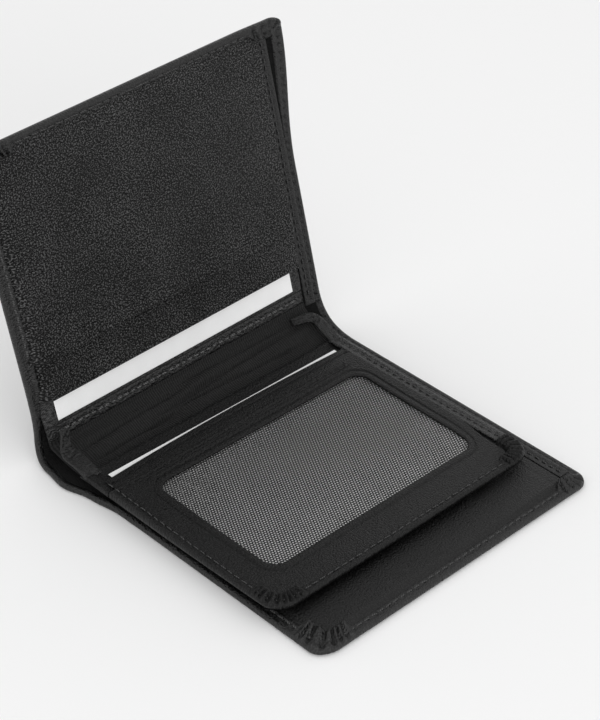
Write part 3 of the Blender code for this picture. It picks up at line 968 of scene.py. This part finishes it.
def along_tab(path):
    """Places a strip on a path, as wide at each point as the path says."""
    path = np.array(path)
    travel = np.concatenate([[0.0], np.cumsum(np.linalg.norm(np.diff(path[:, :3], axis=0), axis=1))])

    def middle(v):
        spots = [[np.interp(v + shift, travel, path[:, i]) for i in range(4)] for shift in TAB_EASE]
        return np.moveaxis(np.mean(spots, axis=0), 0, -1)

    def place(x, v, h):
        here = middle(v)
        ahead = (middle(v + 0.3) - middle(v - 0.3))[..., :3]
        across = np.cross(ahead, TAB_FACING)
        across = across / np.linalg.norm(across, axis=-1)[..., None]
        out = np.cross(across, ahead)
        out = out / np.linalg.norm(out, axis=-1)[..., None]
        return here[..., :3] + (x / TAB_WIDTH * here[..., 3])[..., None] * across + h[..., None] * out

    return place, travel[-1]


for side, path in TAB_PATHS.items():
    place, length = along_tab(path)
    starts = (TAB_END, *TAB_CUTS)
    ends = (*(cut + TAB_LAP for cut in TAB_CUTS), length - TAB_END)
    for (part, bend), start, end in zip(TAB_BENDS.items(), starts, ends):
        outline = Outline(-TAB_WIDTH, TAB_WIDTH, start, end, TAB_CORNER, TAB_CORNER)
        tab = sheet_piece(
            "gusset_end_" + side + "_" + part, outline, 0.0, TAB_THICK, place, inner_leather, tab_relief,
            reach=2.0, fine=0.25, step=0.25,
        )
        if part == "at_spine":
            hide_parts("gusset_tab_" + side)
        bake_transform(tab)

# Window flap's back: a ribbed lining underneath and leather on top, in two parts.
# The strip along the hinge leaves the card's edge showing; the rest backs the card, and its edge is turned
# over the flap's front at the left and free sides and gathered at the corners.
HINGE_LINE = 45.9
FLAP_BASE = 4.19
FLAP_LEFT = -53.1
FLAP_RIGHT = 44.0
FLAP_ROOT = 0.6
FLAP_FAR = 77.5
FLAP_CORNER = 7.0
STRIP_FAR = 12.0
STRIP_LOW = 0.35
STRIP_TOP = 1.15
BACK_NEAR = 12.3
BACK_LOW = 0.3
BACK_TOP = 1.1
FLAP_BAND = 2.9
FLAP_RIM = 2.15
FLAP_PLEATS = 8
FLAP_PLEAT_HEIGHT = 2.0
UNDER_CLOTH_THICK = 0.3


def on_flap(x, v, h):
    """The flap thins towards its free edge, past the card, and that edge lifts a little."""
    press = 1.0 - 0.38 * smooth(8.0, FLAP_FAR, v)
    curl = 0.9 * smooth(30.0, FLAP_FAR, v)
    return np.stack([x, HINGE_LINE - v, FLAP_BASE + curl + h * press], -1)


# The flap's leather is painted a little darker than the shell's, as painted shade from the standing cover.
flap_leather = leather("flap_leather", 0.001, 0.012, 0.42, 0.25, 0.0003)
FLAP = Outline(FLAP_LEFT + 0.6, FLAP_RIGHT - 0.4, FLAP_ROOT, FLAP_FAR - 0.6, FLAP_CORNER)
under_cloth = sheet_piece("flap_under_cloth", FLAP, 0.0, UNDER_CLOTH_THICK, on_flap, ribbed_cloth, step=3.0)
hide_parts("flap_lining")
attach(under_cloth, "flap")


def strip_edge(x):
    """1 along the strip's left edge, where it is turned over."""
    return 1.0 - smooth(FLAP_LEFT + 2.0, FLAP_LEFT + 4.5, x)


def strip_rim(x, v):
    return STRIP_TOP + 1.1 * strip_edge(x) * smooth(1.0, 4.0, v)


def strip_relief(x, v, depth):
    rough = 0.12 * ripple(x, v, 1.6, 51) * strip_edge(x)
    return rough + 0.18 * bump(1.6, 1.3, v) + 0.04 * ripple(x, v, 6.0, 53)


STRIP = Outline(FLAP_LEFT, FLAP_RIGHT, FLAP_ROOT - 0.4, STRIP_FAR)
strip = sheet_piece(
    "flap_strip", STRIP, STRIP_LOW, strip_rim, on_flap, flap_leather, strip_relief,
    rim=0.5, reach=5.0, fine=0.3,
)
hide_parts("flap_pocket_strip")
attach(strip, "flap")

FLAP_BACK = Outline(FLAP_LEFT, FLAP_RIGHT, BACK_NEAR, FLAP_FAR, FLAP_CORNER)


def flap_rim(x, v):
    beside = smooth(35.0, 39.0, x) * (1.0 - smooth(65.0, 68.5, v))
    return BACK_TOP + FLAP_RIM * (1.0 - beside)


flap_edge = turned_edge(FLAP_BACK, flap_rim, BACK_TOP, FLAP_BAND, FLAP_PLEATS, FLAP_PLEAT_HEIGHT)
flap_back = sheet_piece(
    "flap_back", FLAP_BACK, BACK_LOW, flap_rim, on_flap, flap_leather, flap_edge,
    rim=TURNED_RIM, **FINE_SPACING,
)
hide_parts("flap_back_panel")
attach(flap_back, "flap")

# Flap border: a leather strip along the right edge of the flap's back, beside the open side of its pocket.
# It is folded over the edge and sewn like the dividers' borders.
FLAP_BORDER = Outline(39.8, FLAP_RIGHT, 1.0, 70.5)
FLAP_BORDER_LOW = 1.2
FLAP_BORDER_TOP = 2.3
FLAP_BORDER_SEAM = 42.0
flap_border = sheet_piece(
    "flap_side_border", FLAP_BORDER, FLAP_BORDER_LOW, FLAP_BORDER_TOP, on_flap, edge_leather_painted_sheen, turned_strip,
    reach=1.9, fine=0.3, step=0.6,
)
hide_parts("flap_border")
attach(flap_border, "flap")
line = [(FLAP_BORDER_SEAM, 14.9), (FLAP_BORDER_SEAM, 68.0)]
stitch_row("flap_side_stitches", line, FLAP_BORDER_TOP - THREAD_SINK, on_flap, "flap", "flap_border_seam")

card_piece(
    "flap_white_card", FLAP_CARD_LEFT, FLAP_CARD_NEAR, FLAP_CARD_WIDTH, FLAP_CARD_LOW, on_flap,
    "flap_card", "flap_card",
)

# Window net: a black net stretched behind the window, held between the flap's leathers.
# The white card behind it shows through its holes.
NET = Outline(-45.0, 37.1, 16.0, 67.4)
NET_PITCH = 0.88
NET_HOLE = 0.61
NET_LOW = 2.05
NET_THICK = 0.07


def net_finish(name):
    material, shader, flat = new_finish(name, 0.7, 0.3)
    fuzz = flat.noise(2200.0, 2.0)
    fuzz.between(0.3, 0.7).mix(0.012, 0.035).into(shader, "Base Color")
    fuzz.bumped(0.00004, 0.7).into(shader, "Normal")
    return material


def net_piece():
    """Six-sided cells with a six-sided hole in each, joined into one sheet with an upper and a lower face."""
    rise = NET_PITCH * math.sqrt(0.75)
    rows = int((NET.far - NET.near) / rise) - 1
    columns = int((NET.right - NET.left) / NET_PITCH) - 1
    row, column = np.mgrid[0:rows, 0:columns]
    # On a lattice of half pitches and third rises, every corner of a cell has whole numbers.
    corner_steps = np.array(((1, 1), (0, 2), (-1, 1), (-1, -1), (0, -2), (1, -1)))
    centre = np.stack([2 * column + row % 2 + 1, 3 * row + 2], -1).reshape(-1, 1, 2)
    lattice, index = np.unique((centre + corner_steps).reshape(-1, 2), axis=0, return_inverse=True)
    spots = np.concatenate([lattice, (centre + NET_HOLE * corner_steps).reshape(-1, 2)])
    flat = spots * (NET_PITCH / 2, rise / 3) + (NET.left, NET.near)
    count = len(flat)
    cell = index.reshape(-1, 6)
    hole = len(lattice) + np.arange(cell.size).reshape(-1, 6)
    cell_next, hole_next = np.roll(cell, -1, 1), np.roll(hole, -1, 1)
    top = np.stack([cell, cell_next, hole_next, hole], -1).reshape(-1, 4)
    walls = np.stack([hole, hole_next, hole_next + count, hole + count], -1).reshape(-1, 4)
    sides = np.stack([cell, cell_next], -1).reshape(-1, 2)
    _, back, uses = np.unique(np.sort(sides, 1), axis=0, return_inverse=True, return_counts=True)
    rim = sides[uses[back.ravel()] == 1]
    rim = np.stack([rim[:, 1], rim[:, 0], rim[:, 0] + count, rim[:, 1] + count], -1)
    faces = np.concatenate([top, top[:, ::-1] + count, walls, rim]).tolist()
    x, v = flat.T
    low = NET_LOW + 0.03 * ripple(x, v, 12.0, 61)
    points = np.concatenate([on_flap(x, v, low + NET_THICK), on_flap(x, v, low)])
    both = np.tile(flat, (2, 1))
    return add_piece("window_net", points, facing_out(points, faces), both, net_finish("net"))


net = net_piece()
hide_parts("flap_window_mesh")
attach(net, "flap")

# Flap front: the leather frame round the window, held under the turned edge at the left and free sides.
# Its window's edge is turned under and creased, and a second crease runs along its edge at the hinge.
FRAME = Outline(FLAP_LEFT + 2.3, 39.4, 6.35, FLAP_FAR - 2.3, 4.7)
WINDOW = Outline(-42.0, 34.1, 19.0, 64.4, 4.0, 4.0)
FRAME_LOW = 2.35
FRAME_HIGH = 3.05
CARD_TOP = 1.87


def loop_of(outline, counts):
    """Points round an outline, with the same number on each side and corner as on any other's."""
    near = max(outline.near_corner, 0.01)
    far = max(outline.far_corner, 0.01)
    centres = (
        (outline.right - far, outline.far - far, far, 0.0),
        (outline.left + far, outline.far - far, far, 0.5 * math.pi),
        (outline.left + near, outline.near + near, near, math.pi),
        (outline.right - near, outline.near + near, near, 1.5 * math.pi),
    )
    arcs = []
    for x, v, radius, start in centres:
        turn = start + np.linspace(0.0, 0.5 * math.pi, 13)
        arcs.append(np.stack([x + radius * np.cos(turn), v + radius * np.sin(turn)], -1))
    points = []
    for number, here in enumerate(arcs):
        after = arcs[(number + 1) % 4]
        share = np.linspace(0.0, 1.0, counts[number % 2] + 1)[1:-1, None]
        points += [here, here[-1] + share * (after[0] - here[-1])]
    return np.concatenate(points)


def frame_sag(x, v):
    """The front lies down on the card along its open edge at the hinge."""
    return (FRAME_LOW - CARD_TOP) * (1.0 - smooth(0.0, 6.0, v - FRAME.near))


def frame_relief(x, v):
    inner = np.maximum(-WINDOW.inside(x, v), 0.0)
    crease = -0.35 * bump(2.4, 0.3, inner) + 0.16 * bump(1.0, 0.8, inner)
    return crease - 0.3 * bump(2.6, 0.3, v - FRAME.near) + 0.05 * ripple(x, v, 8.0, 67)


def on_front(x, v, h):
    """The front's right edge gapes a little at its far end, and its hinge edge bows towards its middle."""
    gape = 1.6 * smooth(28.0, FRAME.right, x) * smooth(54.0, 67.0, v)
    bow = 0.9 * (x / FRAME.right) ** 2 * (1.0 - smooth(0.0, 8.0, v - FRAME.near))
    return on_flap(x - gape, v + bow, h - frame_sag(x, v))


def frame_piece():
    counts = (120, 70)
    outer = loop_of(FRAME, counts)
    inner = loop_of(WINDOW, counts)
    edge = (FRAME_HIGH - FRAME_LOW) / 2
    width = np.linalg.norm(outer - inner, axis=1)
    near = np.array((0.0, 0.08, 0.3, 0.62, 1.0)) * edge
    shares = []
    for wide in width:
        middle = np.linspace(edge, wide - edge, 34)[1:-1]
        shares.append(np.concatenate([near, middle, wide - near[::-1]]) / wide)
    share = np.array(shares).T[..., None]
    spot = outer[None] + share * (inner - outer)[None]
    x, v = spot[..., 0], spot[..., 1]
    depth = np.minimum(share[..., 0], 1.0 - share[..., 0]) * width[None]
    fall = edge * (1.0 - np.sqrt(1.0 - (1.0 - np.minimum(depth / edge, 1.0)) ** 2))
    top = FRAME_HIGH - fall + smooth(0.0, 0.9, depth) * frame_relief(x, v)
    bottom = FRAME_LOW + fall
    rows, columns = x.shape
    upper = np.arange(rows * columns).reshape(rows, columns)
    lower = upper.copy()
    lower[1:-1] = rows * columns + np.arange((rows - 2) * columns).reshape(rows - 2, columns)
    points = np.concatenate([on_front(x, v, top).reshape(-1, 3), on_front(x, v, bottom)[1:-1].reshape(-1, 3)])
    flat = np.concatenate([spot.reshape(-1, 2), spot[1:-1].reshape(-1, 2)])
    closed = [np.concatenate([index, index[:, :1]], 1) for index in (upper, lower)]
    faces = grid_faces(closed[0]) + grid_faces(closed[1][:, ::-1])
    return add_piece("flap_front", points, facing_out(points, faces), flat, flap_leather)


flap_front = frame_piece()
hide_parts("flap_front_panel")
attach(flap_front, "flap")
flap_seam = round_seam(FLAP_LEFT + SEAM_INSET, 33.3, 9.7, FLAP_FAR - SEAM_INSET, FLAP_CORNER - SEAM_INSET)
stitch_row("flap_edge_stitches", flap_seam, sunk_in(flap_rim), on_flap, "flap", "flap_edge_seam")
